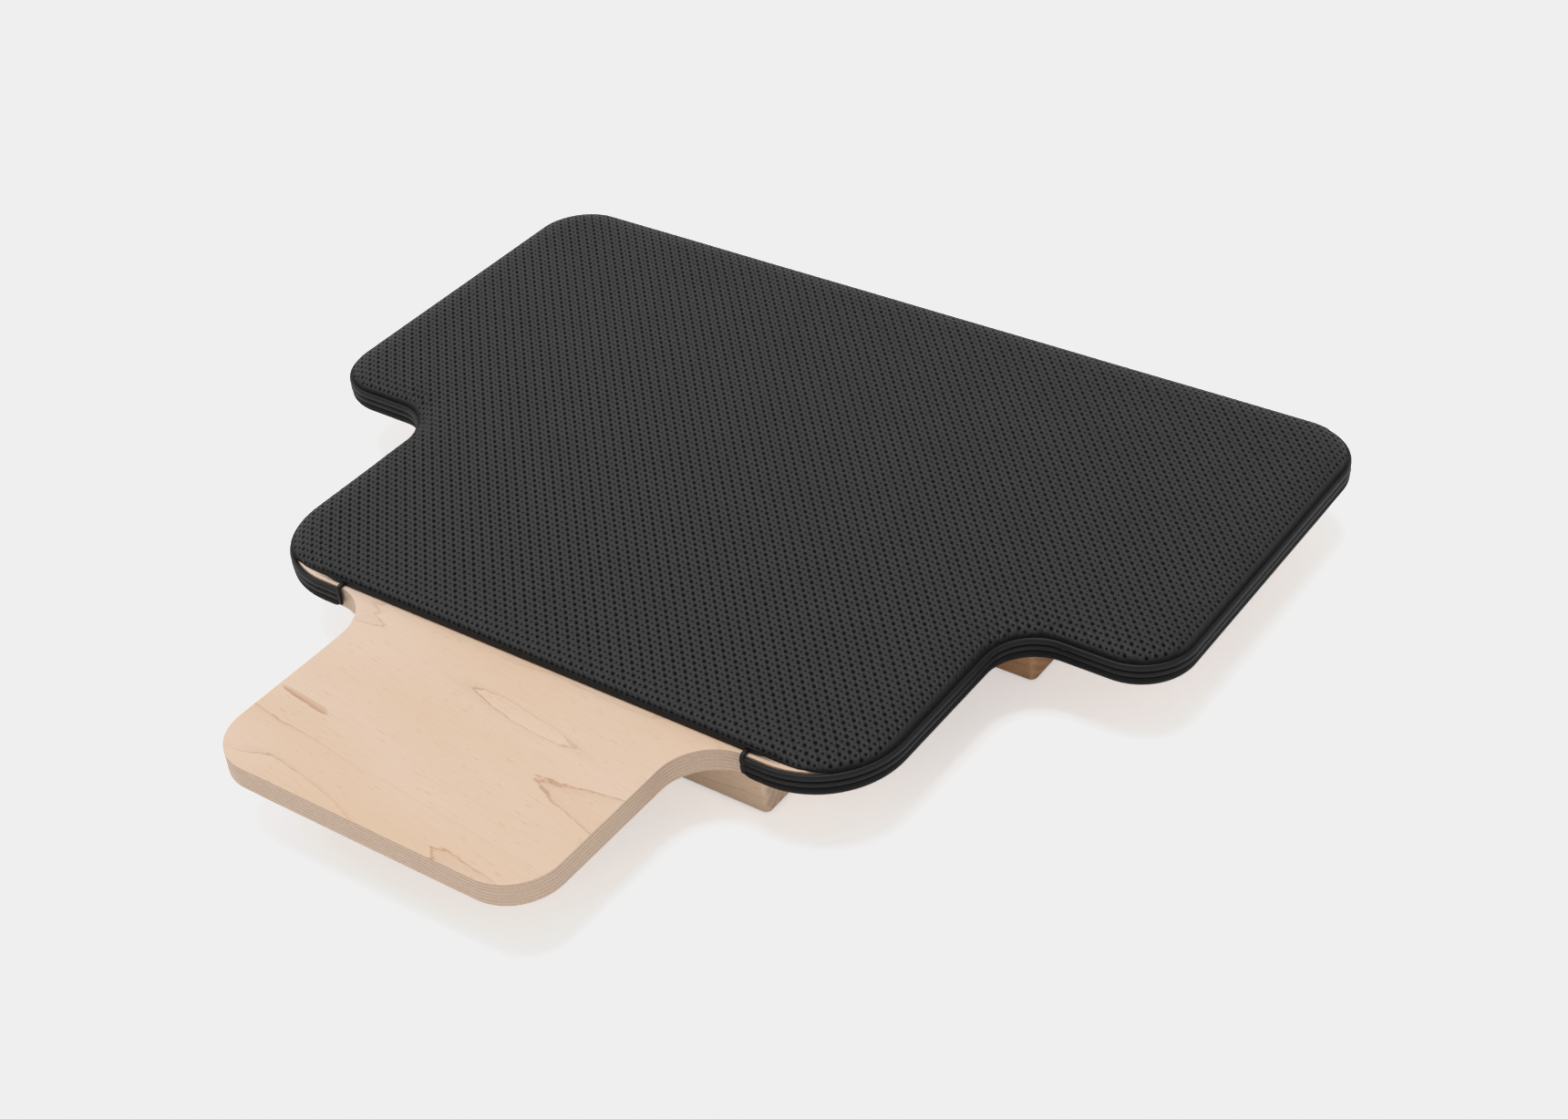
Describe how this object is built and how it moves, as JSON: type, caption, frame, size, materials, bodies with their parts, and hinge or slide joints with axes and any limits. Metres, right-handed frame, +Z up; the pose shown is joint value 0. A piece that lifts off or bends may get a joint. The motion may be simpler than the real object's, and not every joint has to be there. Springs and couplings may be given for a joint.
{
  "type": "balance board",
  "caption": "Flat cross-shaped standing board on two cross beams, with a slip-on perforated foam topper and a bare wooden front tongue.",
  "frame": {"origin": "centre of the bounding box's bottom face: on the floor, under the middle of the board", "axes": "+Z up; -Y towards the bare front tongue; +X the user's right when they face the tongue; the board is symmetric about X = 0"},
  "size_m": [0.68, 0.6234, 0.0677],
  "materials": {
    "maple_ply": "clear satin maple plywood with its layers showing at the edge",
    "solid_maple": "clear satin solid maple",
    "grip_rubber": "matte moulded rubber",
    "screw_steel": "zinc plated",
    "perforated_leather": "charcoal perforated synthetic leather with a soft sheen",
    "edge_trim": "charcoal synthetic leather, rolled and bound",
    "pad_foam": "closed-cell foam",
    "backing_cloth": "non-slip woven backing"
  },
  "bodies": {
    "base": {"deck": "maple_ply", "front_beam": "solid_maple", "rear_beam": "solid_maple", "front_grip_pad_1": "grip_rubber", "front_grip_pad_2": "grip_rubber", "front_grip_pad_3": "grip_rubber", "rear_grip_pad_1": "grip_rubber", "rear_grip_pad_2": "grip_rubber", "rear_grip_pad_3": "grip_rubber", "front_screw_1": "screw_steel", "front_screw_2": "screw_steel", "front_screw_3": "screw_steel", "front_screw_4": "screw_steel", "rear_screw_1": "screw_steel", "rear_screw_2": "screw_steel", "rear_screw_3": "screw_steel", "rear_screw_4": "screw_steel"},
    "topper": {"topper_backing": "backing_cloth", "foam_core": "pad_foam", "perforated_skin": "perforated_leather", "piping": "edge_trim", "side_roll": "edge_trim", "hem_band": "edge_trim", "front_hem": "edge_trim", "left_pocket_binding": "edge_trim", "right_pocket_binding": "edge_trim"}
  },
  "joints": [
    {"name": "topper_lift", "type": "slide", "parent": "base", "child": "topper", "axis": [0, 0, 1], "range_m": [0, 0.06]}
  ]
}
